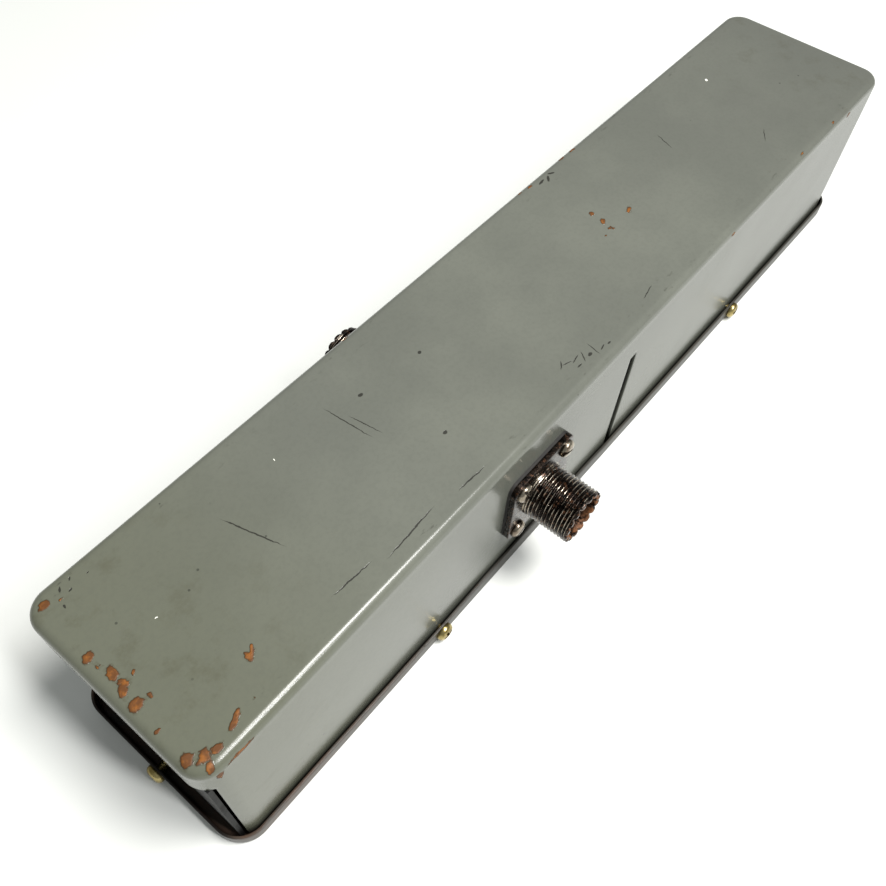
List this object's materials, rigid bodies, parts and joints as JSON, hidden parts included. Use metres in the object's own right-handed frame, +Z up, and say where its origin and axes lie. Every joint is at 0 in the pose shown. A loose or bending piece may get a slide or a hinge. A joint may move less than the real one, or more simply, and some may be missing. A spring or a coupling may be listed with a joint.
{
  "type": "antenna tuner",
  "caption": "Long narrow sheet-steel antenna tuner box with opposed coax sockets, and a roller inductor and variable capacitor inside, turned by end knobs.",
  "frame": {"origin": "centre of the underside of the bottom tray, on the surface that the tuner stands on", "axes": "+X along the box from the plain end to the control end, +Y from the output wall to the input wall, +Z up"},
  "size_m": [0.3265, 0.0864, 0.0574],
  "materials": {
    "case_paint": "semi-gloss grey paint with chips to orange primer",
    "tray_paint": "semi-gloss grey paint, worn",
    "black_paint": "satin black paint",
    "brass_screw": "dulled brass",
    "plated_steel": "dulled zinc plate",
    "sheet_aluminium": "mill finish",
    "plate_aluminium": "satin",
    "black_rubber": "matt",
    "black_gasket": "matt",
    "tarnished_nickel": "heavily tarnished nickel plate",
    "phenolic": "brown phenolic",
    "contact_brass": "satin brass",
    "tinned_lug": "tinned",
    "capacitor_case": "moulded brown resin",
    "copper_wire": "bare copper",
    "steatite": "glazed white",
    "shaft_steel": "ground",
    "knob_plastic": "black phenolic"
  },
  "bodies": {
    "case": {"top_cover": "case_paint", "bottom_tray": "tray_paint", "tray_screws": "brass_screw", "clinch_nuts": "plated_steel", "chassis": "black_paint", "divider": "sheet_aluminium", "grommet": "black_rubber", "output_shell": "tarnished_nickel", "output_gasket": "black_gasket", "output_insulator": "phenolic", "output_contact": "contact_brass", "output_screws": "plated_steel", "output_nuts": "plated_steel", "input_shell": "tarnished_nickel", "input_insulator": "phenolic", "input_contact": "contact_brass", "input_screws": "plated_steel", "input_nuts": "plated_steel", "strip_bracket": "plated_steel", "terminal_strip": "phenolic", "strip_lugs": "tinned_lug", "fixed_capacitor": "capacitor_case", "input_lead": "copper_wire", "output_lead": "copper_wire", "roller_lead": "copper_wire", "coil_rear_bracket": "phenolic", "coil_front_bracket": "phenolic", "foot_screws": "plated_steel", "coil_wiper": "contact_brass", "contact_rod": "contact_brass", "guide_rod": "shaft_steel", "capacitor_rear_plate": "sheet_aluminium", "capacitor_front_plate": "sheet_aluminium", "capacitor_tie_rods": "shaft_steel", "stator_insulators": "steatite", "stator_rods": "contact_brass", "stator_plates": "plate_aluminium", "rotor_wiper": "contact_brass", "panel_bushings": "contact_brass", "panel_nuts": "plated_steel"},
    "coil_rotor": {"coil_former": "steatite", "coil_winding": "copper_wire", "coil_shaft": "shaft_steel", "coil_collar": "contact_brass", "coil_knob": "knob_plastic", "coil_knob_screw": "plated_steel"},
    "roller_carriage": {"contact_carriage": "contact_brass"},
    "roller": {"contact_wheel": "contact_brass"},
    "capacitor_rotor": {"rotor_shaft": "shaft_steel", "rotor_plates": "plate_aluminium", "rotor_spacers": "contact_brass", "capacitor_knob": "knob_plastic", "capacitor_knob_screw": "plated_steel"}
  },
  "joints": [
    {"name": "coil_turn", "type": "hinge", "parent": "case", "child": "coil_rotor", "pos_m": [0.106, 0.012, 0.03], "axis": [1, 0, 0], "range_deg": [0, 5760]},
    {"name": "roller_travel", "type": "slide", "parent": "case", "child": "roller_carriage", "axis": [1, 0, 0], "range_m": [0, 0.064]},
    {"name": "roller_spin", "type": "hinge", "parent": "roller_carriage", "child": "roller", "pos_m": [0.072, 0.012, 0.0479], "axis": [1, 0, 0], "range_deg": [-19584, 0]},
    {"name": "capacitor_turn", "type": "hinge", "parent": "case", "child": "capacitor_rotor", "pos_m": [0.036, -0.014, 0.03], "axis": [1, 0, 0], "range_deg": [0, 180]}
  ],
  "couplings": [
    {"joint": "roller_travel", "follows": "coil_turn", "m_per_rad": 0.00063662},
    {"joint": "roller_spin", "follows": "coil_turn", "ratio": -3.4}
  ]
}
